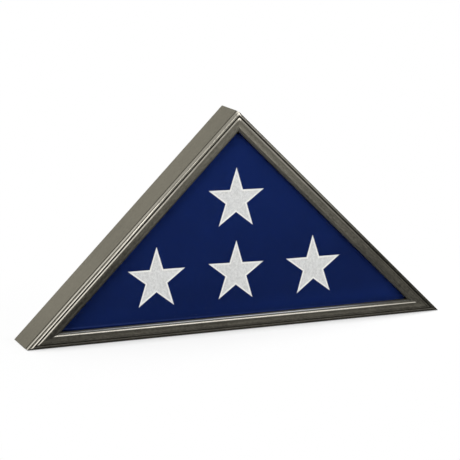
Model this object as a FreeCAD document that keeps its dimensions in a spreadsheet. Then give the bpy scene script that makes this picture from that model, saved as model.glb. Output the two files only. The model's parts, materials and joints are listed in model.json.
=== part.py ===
"""Triangular display case for a folded flag.

Three mitred mouldings make a deep right-angled triangle that stands on its long side.
Glass sits behind the front lip, liner strips hold it there, and the back board drops in
behind the flag, where turn buttons on the back edge keep it.

Frame: X to the right seen from the front, Y to the back, Z up. The origin is on the
base, under the middle of the mouldings. Sizes are in millimetres, angles in degrees.

Two local measures are used for everything that belongs to a moulding: "inward" runs from
its outer face towards the flag, and "behind" runs back from the front of the case.
"""

import FreeCAD
import Part
import Sketcher

import os
import re
from collections import namedtuple

from FreeCAD import Placement, Rotation, Vector

SIZES = {
    # Outline of the case
    "case_width": 640,
    "base_angle": 45,
    "case_depth": 72,
    # Section of the moulding
    "wall_thickness": 13,
    "lip_width": 20.5,
    "lip_depth": 9.5,
    "lip_round": 4,
    "face_setback": 1.1,
    "face_scoop": 0.35,
    "step_width": 0.45,
    "step_angle": 55,
    "face_bead_radius": 1.4,
    "groove_width": 0.9,
    "groove_depth": 1.7,
    "groove_inner_angle": 60,
    "groove_outer_angle": 45,
    "corner_bead_radius": 2.5,
    "corner_bead_inset": 0.2,
    "quirk_angle": 40,
    "quirk_width": 0.8,
    "side_bead_width": 8,
    "back_edge_round": 0.8,
    # Glass, liner and back board
    "glass_thickness": 2,
    "glass_clearance": 0.5,
    "liner_thickness": 5,
    "panel_thickness": 5,
    "panel_clearance": 0.5,
    "panel_recess": 0.3,
    "lining_thickness": 0.8,
    # Folded flag and its sewn stars
    "flag_clearance": 0.4,
    "flag_glass_gap": 4,
    "flag_back_gap": 0.5,
    "flag_corner_round": 14,
    "flag_edge_round": 8,
    "star_radius": 47,
    "star_thickness": 0.6,
    "star_pitch": 121.5,
    "star_shift": -1,
    "star_row_height": 81.5,
    "star_top_height": 189.5,
    # Turn buttons and their screws
    "button_thickness": 1.2,
    "button_boss_radius": 5.5,
    "button_tip_radius": 3.5,
    "button_reach": 18,
    "button_rib_length": 7,
    "button_rib_radius": 1.5,
    "button_rib_height": 1,
    "button_rib_bevel": 0.4,
    "turn_clearance": 0.1,
    "base_button_spacing": 300,
    "side_button_distance": 215,
    "screw_radius": 1.45,
    "screw_bite": 12,
    "screw_head_radius": 3,
    "screw_head_height": 1.9,
    "screw_crown_radius": 1.8,
    # Wedge nails across the mitres
    "wedge_leg": 2.6,
    "wedge_thickness": 0.8,
    "wedge_depth": 10,
    "wedge_outer_inset": 3.6,
    "wedge_inner_inset": 8.6,
    # Brads through the liner
    "brad_radius": 0.6,
    "brad_length": 11,
    "brad_spacing": 160,
    # Saw-tooth hanger on the back board
    "hanger_length": 46,
    "hanger_height": 9,
    "hanger_thickness": 0.8,
    "hanger_rise": 2,
    "hanger_tab": 9,
    "hanger_ramp": 3,
    "hanger_level": 240,
    "tooth_pitch": 2.4,
    "tooth_depth": 1.3,
    "pin_radius": 0.7,
    "pin_length": 4,
    "pin_head_radius": 1.7,
    "pin_crown_radius": 0.9,
    "pin_head_height": 0.7,
}
TOOTH_COUNT = 8
BRADS_PER_LINER = 2

# Sizes that follow from the driving ones, as expressions of the sheet
CASE_HEIGHT = "(case_width/2*tan(base_angle))"
SIDE_LENGTH = "(case_width/2/cos(base_angle))"
GLASS_BACK = "(lip_depth + glass_thickness)"
PANEL_FRONT = "(case_depth - panel_recess - panel_thickness)"
LINING_FRONT = f"({PANEL_FRONT} - lining_thickness)"
LINER_FACE = "(wall_thickness + liner_thickness)"
FLAG_FRONT = f"({GLASS_BACK} + flag_glass_gap)"
SCREW_NECK = "(screw_bite + button_thickness + 2*turn_clearance)"

doc = FreeCAD.newDocument("flag_case")
sheet = doc.addObject("Spreadsheet::Sheet", "sizes")
for row, (alias, number) in enumerate(SIZES.items(), start=1):
    sheet.set(f"A{row}", alias)
    sheet.set(f"B{row}", str(number))
    sheet.setAlias(f"B{row}", alias)
doc.recompute()

ALIAS = re.compile(r"\b(" + "|".join(SIZES) + r")\b")


def bound(text):
    """An expression in plain size names, as one that reads the sheet."""
    return ALIAS.sub(r"sizes.\1", text)


def value(text):
    """The number that an expression has now."""
    return float(sheet.evalExpression(bound(text)))


def from_front(behind):
    """Depth coordinate of a place that lies some way behind the front of the case."""
    return f"-case_depth/2 + {behind}"


# Helpers for sketches and features

Arc = namedtuple("Arc", "through hold size")


def new_body(label):
    body = doc.addObject("PartDesign::Body", label)
    body.Label = label
    return body


def new_sketch(body, name, plane):
    sketch = body.newObject("Sketcher::SketchObject", name)
    support = next(f for f in body.Origin.OriginFeatures if f.Role == plane)
    sketch.AttachmentSupport = (support, "")
    sketch.MapMode = "FlatFace"
    return sketch


def hold(sketch, kind, *where, size):
    """A dimension that the sheet drives."""
    index = sketch.addConstraint(Sketcher.Constraint(kind, *where, value(size)))
    sketch.setExpression(f"Constraints[{index}]", bound(size))


def hold_point(sketch, element, end, x, y):
    """Fix a point by its two coordinates; a zero puts it on the axis."""
    for kind, axis, size in (("DistanceX", -2, x), ("DistanceY", -1, y)):
        if size == "0":
            sketch.addConstraint(Sketcher.Constraint("PointOnObject", element, end, axis))
        else:
            hold(sketch, kind, -1, 1, element, end, size=size)


def draw_loop(sketch, corners, arcs=None):
    """A closed outline through corners given as expressions.

    arcs maps an edge's number to an Arc: a point that it passes, and the one size,
    its Radius or its centre's DistanceX or DistanceY, that makes it exact.
    """
    arcs = arcs or {}
    points = [Vector(value(x), value(y), 0) for x, y in corners]
    ends = []
    for index, start in enumerate(points):
        stop = points[(index + 1) % len(points)]
        if index in arcs:
            middle = Vector(*(value(text) for text in arcs[index].through), 0)
            edge = sketch.addGeometry(Part.Arc(start, middle, stop), False)
        else:
            edge = sketch.addGeometry(Part.LineSegment(start, stop), False)
        forward = (sketch.getPoint(edge, 1) - start).Length < (sketch.getPoint(edge, 2) - start).Length
        ends.append((edge, 1 if forward else 2, 2 if forward else 1))
    for index, (edge, _, last) in enumerate(ends):
        following, first, _ = ends[(index + 1) % len(ends)]
        sketch.addConstraint(Sketcher.Constraint("Coincident", edge, last, following, first))
    for (x, y), (edge, first, _) in zip(corners, ends):
        hold_point(sketch, edge, first, x, y)
    for index, arc in arcs.items():
        edge = ends[index][0]
        if arc.hold == "Radius":
            hold(sketch, "Radius", edge, size=arc.size)
        else:
            hold(sketch, arc.hold, -1, 1, edge, 3, size=arc.size)


def draw_circle(sketch, x, y, radius):
    circle = Part.Circle(Vector(value(x), value(y), 0), Vector(0, 0, 1), value(radius))
    element = sketch.addGeometry(circle, False)
    hold_point(sketch, element, 3, x, y)
    hold(sketch, "Radius", element, size=radius)


def pad(body, sketch, name, length, backwards=False):
    """Raise a sketch along its normal. On the XZ plane backwards means towards +Y."""
    feature = body.newObject("PartDesign::Pad", name)
    feature.Profile = sketch
    feature.Reversed = backwards
    feature.setExpression("Length", bound(length))
    return feature


def cut_through(body, sketch, name):
    """Cut a sketch right through the body, both ways."""
    feature = body.newObject("PartDesign::Pocket", name)
    feature.Profile = sketch
    feature.Type = "ThroughAll"
    feature.SideType = "Symmetric"
    return feature


def dress_edges(body, kind, name, base, size, wanted):
    """Fillet or bevel the edges of a feature for which wanted(edge) is true."""
    doc.recompute()
    names = [f"Edge{i}" for i, edge in enumerate(base.Shape.Edges, start=1) if wanted(edge)]
    feature = body.newObject(f"PartDesign::{kind}", name)
    feature.Base = (base, names)
    feature.setExpression("Radius" if kind == "Fillet" else "Size", bound(size))
    return feature


def revolve(body, sketch, name):
    """Turn a half section round the Y axis of the body."""
    feature = body.newObject("PartDesign::Revolution", name)
    feature.Profile = sketch
    feature.ReferenceAxis = (sketch, ["V_Axis"])
    feature.Angle = 360
    return feature


def place(item, x, y, z, turn="0"):
    """Put an item at a point, turned about the depth axis."""
    item.Placement = Placement(Vector(), Rotation(Vector(0, 1, 0), value(turn)))
    for axis, text in zip("xyz", (x, y, z)):
        item.setExpression(f"Placement.Base.{axis}", bound(text))


def group(label, items):
    """Several like pieces under one name, each still a solid of its own."""
    compound = doc.addObject("Part::Compound", label)
    compound.Label = label
    compound.Links = items
    return compound


def cut_away(label, base, tool):
    """A piece less the holes that its fasteners make."""
    result = doc.addObject("Part::Cut", label)
    result.Label = label
    result.Base = base
    result.Tool = tool
    return result


# The three sides of the triangle, each running along its outer face

Side = namedtuple("Side", "name start_x start_z turn length start_mitre end_mitre")

BASE_MITRE = "(base_angle/2)"
APEX_MITRE = "(90 - base_angle)"
BOTTOM = Side("bottom", "-case_width/2", "0", "0", "case_width", BASE_MITRE, BASE_MITRE)
LEFT = Side("left", "0", CASE_HEIGHT, "(180 - base_angle)", SIDE_LENGTH, APEX_MITRE, BASE_MITRE)
RIGHT = Side("right", "case_width/2", "0", "(180 + base_angle)", SIDE_LENGTH, BASE_MITRE, APEX_MITRE)
SIDES = (BOTTOM, LEFT, RIGHT)


def on_side(side, along, inward):
    """X and Z of a point that lies along a side and inward from its outer face."""
    x = f"{side.start_x} + ({along})*cos({side.turn}) + ({inward})*sin({side.turn})"
    z = f"{side.start_z} - ({along})*sin({side.turn}) + ({inward})*cos({side.turn})"
    return x, z


def inset_triangle(inset):
    """Corners of the case's triangle, drawn in by the same amount on every side."""
    reach = f"{inset}/tan(base_angle/2)"
    return [
        (f"-case_width/2 + {reach}", inset),
        (f"case_width/2 - {reach}", inset),
        ("0", f"{CASE_HEIGHT} - {inset}/cos(base_angle)"),
    ]


def mitre_both_ends(body, side, inset, width):
    """Cut a strip's ends so that it meets its neighbours.

    The strip's outer face lies inset from the case's outer face, and the strip is width
    wide, so its outer edge has lost inset/tan(mitre) at each end already.
    """
    far = f"({inset} + {width})"
    sketch = new_sketch(body, f"{side.name}_mitres", "XZ_Plane")
    length, start, end = side.length, side.start_mitre, side.end_mitre
    draw_loop(sketch, [("0", "0"), (f"{far}/tan({start})", far), ("0", far)])
    draw_loop(sketch, [(length, "0"), (length, far), (f"{length} - {far}/tan({end})", far)])
    cut_through(body, sketch, f"{side.name}_mitre_cuts")


# Mouldings


def moulding_section(sketch):
    """Section of the moulding, with behind along X and inward along Y of the sketch.

    From the back it runs up the flat side, over a wide side bead between two quirks,
    round the corner bead, into a groove, over the face bead and a small step to the
    scooped face, round the lip and back along the glass rebate to the wall.
    """
    bead = "corner_bead_radius"
    bead_centre = f"(corner_bead_inset + {bead})"
    quirk_behind = f"({bead}*(1 + sin(quirk_angle)))"
    quirk_inward = f"({bead_centre} - {bead}*cos(quirk_angle))"
    side_bead_end = f"({quirk_behind} + side_bead_width)"
    side_bead_radius = f"((side_bead_width^2/4 + {quirk_inward}^2)/(2*{quirk_inward}))"
    groove_start = (f"{bead}*(1 - cos(groove_outer_angle))", f"{bead_centre} + {bead}*sin(groove_outer_angle)")
    groove_middle = ("groove_depth", f"{groove_start[1]} + groove_width/2")
    face_bead = "face_bead_radius"
    groove_end = (f"{face_bead}*(1 - cos(groove_inner_angle))", f"{groove_start[1]} + groove_width")
    crest = f"({groove_end[1]} + {face_bead}*sin(groove_inner_angle))"
    step_start = (f"{face_bead}*(1 - cos(step_angle))", f"{crest} + {face_bead}*sin(step_angle)")
    face_start = ("face_setback", f"({step_start[1]} + step_width)")
    face_end = ("face_setback", "(lip_width - lip_round)")
    half_face = f"(({face_end[1]} - {face_start[1]})/2)"
    scoop_radius = f"(({half_face}^2 + face_scoop^2)/(2*face_scoop))"
    lip_centre = "(face_setback + lip_round)"
    corners = [
        ("case_depth", "back_edge_round"),
        ("case_depth - back_edge_round", "0"),
        (f"{side_bead_end} + quirk_width", "0"),
        (side_bead_end, quirk_inward),
        (quirk_behind, quirk_inward),
        groove_start,
        groove_middle,
        groove_end,
        step_start,
        face_start,
        face_end,
        (lip_centre, "lip_width"),
        ("lip_depth", "lip_width"),
        ("lip_depth", "wall_thickness"),
        ("case_depth", "wall_thickness"),
    ]
    ease = "back_edge_round*(1 - cos(45))"
    lip_bend = "lip_round*sin(45)"
    arcs = {
        0: Arc((f"case_depth - {ease}", ease), "Radius", "back_edge_round"),
        3: Arc((f"{quirk_behind} + side_bead_width/2", "0"), "DistanceY", side_bead_radius),
        4: Arc((f"{bead}*(1 - cos(45))", f"{bead_centre} - {bead}*sin(45)"), "DistanceX", bead),
        7: Arc(("0", crest), "DistanceX", face_bead),
        9: Arc(("face_setback + face_scoop", f"{face_start[1]} + {half_face}"), "Radius", scoop_radius),
        10: Arc((f"{lip_centre} - {lip_bend}", f"{face_end[1]} + {lip_bend}"), "Radius", "lip_round"),
    }
    draw_loop(sketch, corners, arcs)


def make_moulding(side):
    body = new_body(f"{side.name}_rail_blank")
    section = new_sketch(body, f"{side.name}_section", "YZ_Plane")
    moulding_section(section)
    pad(body, section, f"{side.name}_length", side.length)
    mitre_both_ends(body, side, "0", "lip_width")
    place(body, side.start_x, from_front("0"), side.start_z, side.turn)
    return body


# Liner strips between the glass and the back board


def make_liner(side):
    body = new_body(f"{side.name}_liner_blank")
    section = new_sketch(body, f"{side.name}_liner_section", "YZ_Plane")
    draw_loop(
        section,
        [
            (GLASS_BACK, "wall_thickness"),
            (LINING_FRONT, "wall_thickness"),
            (LINING_FRONT, LINER_FACE),
            (GLASS_BACK, LINER_FACE),
        ],
    )
    pad(body, section, f"{side.name}_liner_length", side.length)
    mitre_both_ends(body, side, "wall_thickness", "liner_thickness")
    place(body, side.start_x, from_front("0"), side.start_z, side.turn)
    return body


def make_brads():
    """Headless brads, driven square to each liner strip into the wall."""
    brads = []
    for side in SIDES:
        for number in range(BRADS_PER_LINER):
            brad = doc.addObject("Part::Cylinder", f"{side.name}_brad_{number + 1}")
            brad.setExpression("Radius", bound("brad_radius"))
            brad.setExpression("Height", bound("brad_length"))
            along = f"{side.length}/2 + {number - (BRADS_PER_LINER - 1) / 2}*brad_spacing"
            x, z = on_side(side, along, f"({LINER_FACE} - brad_length)")
            place(brad, x, from_front(f"({GLASS_BACK} + {LINING_FRONT})/2"), z, side.turn)
            brads.append(brad)
    return group("liner_brads", brads)


# Flat triangular pieces: glass, back board and its lining


def make_triangle(label, inset, behind, thickness):
    body = new_body(label)
    outline = new_sketch(body, f"{label}_outline", "XZ_Plane")
    draw_loop(outline, inset_triangle(inset))
    plate = pad(body, outline, f"{label}_plate", thickness, backwards=True)
    place(body, "0", from_front(behind), "0")
    return body, plate


# Folded flag


def make_flag():
    """The bundle: a thick soft triangle with rounded corners and rolled edges."""
    depth = f"({LINING_FRONT} - flag_back_gap - {FLAG_FRONT})"
    body, plate = make_triangle("folded_flag", f"({LINER_FACE} + flag_clearance)", FLAG_FRONT, depth)

    def across(edge):
        return abs(edge.tangentAt(edge.FirstParameter).y) > 0.99

    def round_the_rim(edge):
        return abs(edge.tangentAt(edge.FirstParameter).y) < 0.01

    corners = dress_edges(body, "Fillet", "flag_corners", plate, "flag_corner_round", across)
    dress_edges(body, "Fillet", "flag_rolled_edges", corners, "flag_edge_round", round_the_rim)
    return body


def star_outline(sketch):
    """Five points on one circle with the notches where its chords cross."""
    notch = "(star_radius*cos(72)/cos(36))"
    corners = []
    for point in range(10):
        radius = notch if point % 2 else "star_radius"
        angle = 90 - 36 * point
        across = "0" if point in (0, 5) else f"{radius}*cos({angle})"
        corners.append((across, f"{radius}*sin({angle})"))
    draw_loop(sketch, corners)


def make_stars():
    """One star over three, sewn flat on the front of the bundle."""
    places = {
        "top": ("star_shift", "star_top_height"),
        "left": ("star_shift - star_pitch", "star_row_height"),
        "middle": ("star_shift", "star_row_height"),
        "right": ("star_shift + star_pitch", "star_row_height"),
    }
    stars = []
    for name, (x, z) in places.items():
        body = new_body(f"{name}_star")
        outline = new_sketch(body, f"{name}_star_outline", "XZ_Plane")
        star_outline(outline)
        pad(body, outline, f"{name}_star_cloth", "star_thickness", backwards=True)
        place(body, x, from_front(f"{FLAG_FRONT} - star_thickness"), z)
        stars.append(body)
    return group("flag_stars", stars)


# Wedge nails across the mitres


def make_wedges():
    """Two V-shaped nails in each corner, driven flush into the back of the mitre."""
    leg, wide = "wedge_leg", "wedge_thickness/sin(45)"
    chevron = [
        ("0", "0"),
        (leg, leg),
        (f"{leg} + {wide}", leg),
        (wide, "0"),
        (f"{leg} + {wide}", f"-{leg}"),
        (leg, f"-{leg}"),
    ]
    wedges = []
    for side in SIDES:
        for inset in ("wedge_outer_inset", "wedge_inner_inset"):
            name = f"{side.name}_{inset}"
            body = new_body(f"{name}_nail")
            outline = new_sketch(body, f"{name}_outline", "XZ_Plane")
            draw_loop(outline, chevron)
            pad(body, outline, f"{name}_blade", "wedge_depth", backwards=True)
            x, z = on_side(side, f"{inset}/tan({side.start_mitre})", inset)
            along_mitre = f"({side.turn} - {side.start_mitre})"
            place(body, x, from_front("case_depth - wedge_depth"), z, along_mitre)
            wedges.append(body)
    return group("corner_wedge_nails", wedges)


# Turn buttons and their screws

Button = namedtuple("Button", "name side along turn")

BUTTONS = (
    Button("left", LEFT, "side_button_distance", LEFT.turn),
    Button("right", RIGHT, f"{SIDE_LENGTH} - side_button_distance", "base_angle"),
    Button("base_left", BOTTOM, "case_width/2 - base_button_spacing/2", "0"),
    Button("base_right", BOTTOM, "case_width/2 + base_button_spacing/2", "180"),
)


def make_turn_button(button):
    """A pressed tab with a round boss, a narrower tongue and a rib to push it by.

    It lies along its moulding, clear of the board, and locks the board when it is
    turned a quarter of the way round.
    """
    label = f"turn_button_{button.name}"
    body = new_body(label)
    boss, tip, reach = "button_boss_radius", "button_tip_radius", "button_reach"
    lean = f"(({boss} - {tip})/{reach})"
    level = f"sqrt(1 - {lean}^2)"
    outline = new_sketch(body, f"{label}_outline", "XZ_Plane")
    draw_loop(
        outline,
        [
            (f"{boss}*{lean}", f"{boss}*{level}"),
            (f"{boss}*{lean}", f"-{boss}*{level}"),
            (f"{reach} + {tip}*{lean}", f"-{tip}*{level}"),
            (f"{reach} + {tip}*{lean}", f"{tip}*{level}"),
        ],
        {
            0: Arc((f"-{boss}", "0"), "DistanceX", "0*button_reach"),
            2: Arc((f"{reach} + {tip}", "0"), "DistanceX", reach),
        },
    )
    pad(body, outline, f"{label}_tab", "button_thickness", backwards=True)
    rib = new_sketch(body, f"{label}_rib_outline", "XZ_Plane")
    rib_start, half = f"({reach} - button_rib_length)", "button_rib_radius"
    draw_loop(
        rib,
        [(rib_start, half), (rib_start, f"-{half}"), (reach, f"-{half}"), (reach, half)],
        {
            0: Arc((f"{rib_start} - {half}", "0"), "DistanceX", rib_start),
            2: Arc((f"{reach} + {half}", "0"), "DistanceX", reach),
        },
    )
    pad(body, rib, f"{label}_rib", "button_thickness + button_rib_height", backwards=True)
    hole = new_sketch(body, f"{label}_hole_outline", "XZ_Plane")
    draw_circle(hole, "0", "0", "screw_radius + turn_clearance")
    drilled = cut_through(body, hole, f"{label}_hole")
    top = value("button_thickness + button_rib_height")

    def rib_top(edge):
        return all(abs(vertex.Y - top) < 1e-6 for vertex in edge.Vertexes)

    dress_edges(body, "Chamfer", f"{label}_rib_sides", drilled, "button_rib_bevel", rib_top)
    x, z = on_side(button.side, button.along, "wall_thickness/2")
    place(body, x, from_front("case_depth + turn_clearance"), z, button.turn)
    return body


def make_screws():
    """Pan-headed wood screws that the turn buttons swing on."""
    screws = []
    for button in BUTTONS:
        body = new_body(f"{button.name}_button_screw")
        section = new_sketch(body, f"{button.name}_screw_section", "XY_Plane")
        crown = f"({SCREW_NECK} + screw_head_height)"
        draw_loop(
            section,
            [
                ("0", "0"),
                ("screw_radius", "0"),
                ("screw_radius", SCREW_NECK),
                ("screw_head_radius", SCREW_NECK),
                ("screw_crown_radius", crown),
                ("0", crown),
            ],
        )
        revolve(body, section, f"{button.name}_screw_turned")
        x, z = on_side(button.side, button.along, "wall_thickness/2")
        place(body, x, from_front("case_depth - screw_bite"), z)
        screws.append(body)
    return group("turn_button_screws", screws)


# Saw-tooth hanger


def make_hanger():
    """A strip bridged clear of the board, with teeth under the bridge for a wall hook."""
    body = new_body("sawtooth_hanger_blank")
    half, tab, ramp = "hanger_length/2", "hanger_tab", "hanger_ramp"
    foot, top = f"{half} - {tab}", f"{half} - {tab} - {ramp}"
    thick, rise = "hanger_thickness", "hanger_rise"
    right = [
        (top, rise),
        (foot, "0"),
        (half, "0"),
        (half, thick),
        (foot, thick),
        (top, f"{rise} + {thick}"),
    ]
    left = [(f"-({x})", y) for x, y in reversed(right)]
    profile = new_sketch(body, "hanger_profile", "XY_Plane")
    draw_loop(profile, left + right)
    pad(body, profile, "hanger_strip", "hanger_height")
    teeth = new_sketch(body, "hanger_teeth_outline", "XZ_Plane")
    for number in range(TOOTH_COUNT):
        middle = f"{number - (TOOTH_COUNT - 1) / 2}*tooth_pitch"
        draw_loop(
            teeth,
            [
                (f"{middle} - tooth_pitch/2", "0"),
                (f"{middle} + tooth_pitch/2", "0"),
                (middle, "tooth_depth"),
            ],
        )
    cut_through(body, teeth, "hanger_teeth")
    place(body, "0", from_front("case_depth - panel_recess"), "hanger_level")
    return body


def make_hanger_pins():
    """Round-headed pins through the hanger's two tabs into the board."""
    pins = []
    for name, sign in (("left", "-"), ("right", "")):
        body = new_body(f"{name}_hanger_pin")
        section = new_sketch(body, f"{name}_pin_section", "XY_Plane")
        neck = "(pin_length + hanger_thickness)"
        draw_loop(
            section,
            [
                ("0", "0"),
                ("pin_radius", "0"),
                ("pin_radius", neck),
                ("pin_head_radius", neck),
                ("pin_crown_radius", f"{neck} + pin_head_height"),
                ("0", f"{neck} + pin_head_height"),
            ],
        )
        revolve(body, section, f"{name}_pin_turned")
        x = f"{sign}(hanger_length/2 - hanger_tab/2)"
        place(body, x, from_front("case_depth - panel_recess - pin_length"), "hanger_level + hanger_height/2")
        pins.append(body)
    return group("hanger_pins", pins)


# Assembly

screws = make_screws()
wedges = make_wedges()
brads = make_brads()
pins = make_hanger_pins()
fasteners = group("case_fasteners", [screws, wedges, brads])

nodes = [screws, wedges, brads, pins]
for side in SIDES:
    nodes.append(cut_away(f"{side.name}_rail", make_moulding(side), fasteners))
    nodes.append(cut_away(f"{side.name}_liner", make_liner(side), brads))
nodes.append(make_triangle("front_glass", "(wall_thickness + glass_clearance)", "lip_depth", "glass_thickness")[0])
PANEL_INSET = "(wall_thickness + panel_clearance)"
board = make_triangle("back_panel_blank", PANEL_INSET, PANEL_FRONT, "panel_thickness")[0]
nodes.append(cut_away("back_panel", board, pins))
nodes.append(make_triangle("panel_lining", PANEL_INSET, LINING_FRONT, "lining_thickness")[0])
nodes.append(make_flag())
nodes.append(make_stars())
nodes.append(cut_away("sawtooth_hanger", make_hanger(), pins))
for button in BUTTONS:
    nodes.append(make_turn_button(button))
doc.recompute()

broken = [item.Label for item in doc.Objects if {"Invalid", "Error"} & set(item.State)]
if broken:
    raise RuntimeError(f"these objects failed: {broken}")
for node in nodes:
    if node.Shape.isNull() or not node.Shape.isValid() or not node.Shape.Solids:
        raise RuntimeError(f"{node.Label} has no valid solid")

os.makedirs("parts", exist_ok=True)
for node in nodes:
    node.Shape.exportStep(f"parts/{node.Label}.step")
    print(node.Label, len(node.Shape.Solids), round(node.Shape.Volume))
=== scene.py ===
"""Looks of the folded flag display case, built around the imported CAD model.

The mouldings, glass, liner strips, back board and hardware keep their CAD shapes and get
their finishes here. The flag, its stars, the felt and the screws are surfaces worked out
as arrays. The frame is the CAD model's, in metres: X to the right seen from the front,
Y to the back and Z up.
"""

import json
import math
from collections import namedtuple
from dataclasses import dataclass

import bpy
import numpy as np
from bpy.props import FloatProperty, FloatVectorProperty, IntProperty, PointerProperty
from mathutils import Matrix, Vector


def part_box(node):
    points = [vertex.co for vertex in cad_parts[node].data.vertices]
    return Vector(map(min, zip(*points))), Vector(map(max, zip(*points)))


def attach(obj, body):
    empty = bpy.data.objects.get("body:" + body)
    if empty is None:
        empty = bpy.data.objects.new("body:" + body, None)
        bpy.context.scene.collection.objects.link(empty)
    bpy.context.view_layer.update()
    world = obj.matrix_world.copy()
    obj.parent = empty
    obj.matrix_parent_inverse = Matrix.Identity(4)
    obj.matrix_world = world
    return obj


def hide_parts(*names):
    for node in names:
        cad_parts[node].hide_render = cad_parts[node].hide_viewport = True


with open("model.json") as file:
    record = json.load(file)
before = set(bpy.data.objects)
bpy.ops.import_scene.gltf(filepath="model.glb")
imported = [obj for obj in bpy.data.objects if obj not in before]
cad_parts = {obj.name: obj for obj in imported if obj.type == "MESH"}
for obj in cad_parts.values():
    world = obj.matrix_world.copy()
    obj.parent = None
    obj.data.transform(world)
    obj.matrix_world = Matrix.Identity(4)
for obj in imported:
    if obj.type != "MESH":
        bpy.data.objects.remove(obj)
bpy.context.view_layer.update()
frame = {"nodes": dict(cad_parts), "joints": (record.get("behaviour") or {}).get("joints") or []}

bl_info = {
    "name": "Folded flag display case",
    "version": (1, 0, 0),
    "blender": (4, 5, 0),
    "location": "View3D > Sidebar > Flag case",
    "description": "Finishes the case's mouldings and makes its flag, stars, lining and screws",
    "category": "Object",
}

# Measures from the frame
NODES = frame["nodes"]
RAIL_LOW, RAIL_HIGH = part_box("bottom_rail")
FRONT, BACK = RAIL_LOW.y, RAIL_HIGH.y
HALF_WIDTH = RAIL_HIGH.x
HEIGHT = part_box("left_rail")[1].z
FLAG_LOW, FLAG_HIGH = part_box("folded_flag")
STARS_LOW, STARS_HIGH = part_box("flag_stars")
FELT_LOW, FELT_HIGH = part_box("panel_lining")

MM = 0.001
WHITE = (1.0, 1.0, 1.0, 1.0)

# Turns about Y that bring a length along X to each sloping side
LEFT_TURN = math.radians(135)
RIGHT_TURN = math.radians(225)


# Shader expressions


class Link:
    """A node's output with arithmetic: an expression on values adds its Math nodes."""

    def __init__(self, finish, socket):
        self.finish = finish
        self.socket = socket

    def math(self, operation, *values):
        inputs = dict(enumerate(values))
        return self.finish.node("ShaderNodeMath", {"operation": operation}, inputs)

    def __add__(self, other):
        return self.math("ADD", self, other)

    def __sub__(self, other):
        return self.math("SUBTRACT", self, other)

    def __rsub__(self, other):
        return self.math("SUBTRACT", other, self)

    def __mul__(self, other):
        return self.math("MULTIPLY", self, other)

    __radd__ = __add__
    __rmul__ = __mul__

    def __abs__(self):
        return self.math("ABSOLUTE", self)

    def sine(self):
        return self.math("SINE", self)

    def root(self):
        return self.math("SQRT", self)

    def most(self, other):
        return self.math("MAXIMUM", self, other)

    def least(self, other):
        return self.math("MINIMUM", self, other)

    def ramp(self, start, stop, low=0.0, high=1.0):
        """low below start, high above stop, and a smooth change between them."""
        inputs = {"Value": self, "From Min": start, "From Max": stop, "To Min": low, "To Max": high}
        return self.finish.node("ShaderNodeMapRange", {"interpolation_type": "SMOOTHSTEP"}, inputs)

    def fall(self, start, stop):
        """1 below start, falling smoothly to 0 at stop."""
        return self.ramp(start, stop, 1.0, 0.0)

    def near(self, middle, width):
        """1 at middle, falling smoothly to 0 at width from it."""
        return abs(self - middle).fall(0.0, width)

    def band(self, start, full, fade, stop):
        """1 from full to fade, falling smoothly to 0 at start and at stop."""
        return self.ramp(start, full) * self.fall(fade, stop)


class Finish:
    """The nodes of a material or a world, and the few ways in which they are added."""

    def __init__(self, block):
        self.block = block
        block.use_nodes = True
        self.tree = block.node_tree
        self.tree.nodes.clear()

    def node(self, kind, settings=None, inputs=None, output=0):
        """Add a node: its type, its settings, then the values or links of its sockets."""
        made = self.tree.nodes.new(kind)
        for name, value in (settings or {}).items():
            setattr(made, name, value)
        for name, value in (inputs or {}).items():
            if isinstance(value, Link):
                self.tree.links.new(value.socket, made.inputs[name])
            else:
                made.inputs[name].default_value = value
        return Link(self, made.outputs[output]) if made.outputs else None

    def outputs(self, kind, names, inputs=None):
        """Add a node, and give several of its outputs by name."""
        made = self.node(kind, inputs=inputs).socket.node
        return [Link(self, made.outputs[name]) for name in names]

    def parts(self, vector):
        """The three numbers of a vector."""
        return self.outputs("ShaderNodeSeparateXYZ", "XYZ", {0: vector})

    def position(self):
        return self.node("ShaderNodeTexCoord", output="Object")

    def turned(self, turn, start=(0.0, 0.0, 0.0)):
        """Object coordinates from start, with X along a piece that is turned about Y."""
        inputs = {"Vector": self.position(), "Location": start, "Rotation": (0.0, turn, 0.0)}
        return self.node("ShaderNodeMapping", {"vector_type": "TEXTURE"}, inputs)

    def blend(self, factor, first, second):
        """Mix two colours."""
        settings = {"data_type": "RGBA", "clamp_factor": True}
        return self.node("ShaderNodeMix", settings, {0: factor, 6: first, 7: second}, 2)

    def noise(self, vector, scale, detail=3.0, roughness=0.55):
        inputs = {"Vector": vector, "Scale": scale, "Detail": detail, "Roughness": roughness}
        return self.node("ShaderNodeTexNoise", inputs=inputs)

    def grain(self, vector, density, detail=3.0, roughness=0.55):
        """Noise drawn out by axis: density is about how many of its grains lie in a metre."""
        drawn = self.node("ShaderNodeVectorMath", {"operation": "MULTIPLY"}, {0: vector, 1: density})
        return self.noise(drawn, 1.0, detail, roughness)

    def bump(self, height, distance, strength):
        inputs = {"Height": height, "Distance": distance, "Strength": strength}
        return self.node("ShaderNodeBump", inputs=inputs)

    def shown_rays(self):
        """1 for rays that show or mirror the background, 0 for those that only light."""
        names = ("Is Camera Ray", "Is Glossy Ray", "Is Transmission Ray")
        seen, mirrored, through = self.outputs("ShaderNodeLightPath", names)
        return seen.most(mirrored).most(through)

    def surface(self, shader, output="ShaderNodeOutputMaterial"):
        self.node(output, inputs={"Surface": shader})
        return self.block

    def principled(self, **inputs):
        named = {name.replace("_", " "): value for name, value in inputs.items()}
        return self.surface(self.node("ShaderNodeBsdfPrincipled", inputs=named))


def new_finish(name):
    return Finish(bpy.data.materials.new(name))


def colour(values, shade=1.0):
    return tuple(shade * channel for channel in values) + (1.0,)


# Meshes from arrays

NO_TRIANGLES = np.zeros((0, 3), int)


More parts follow.
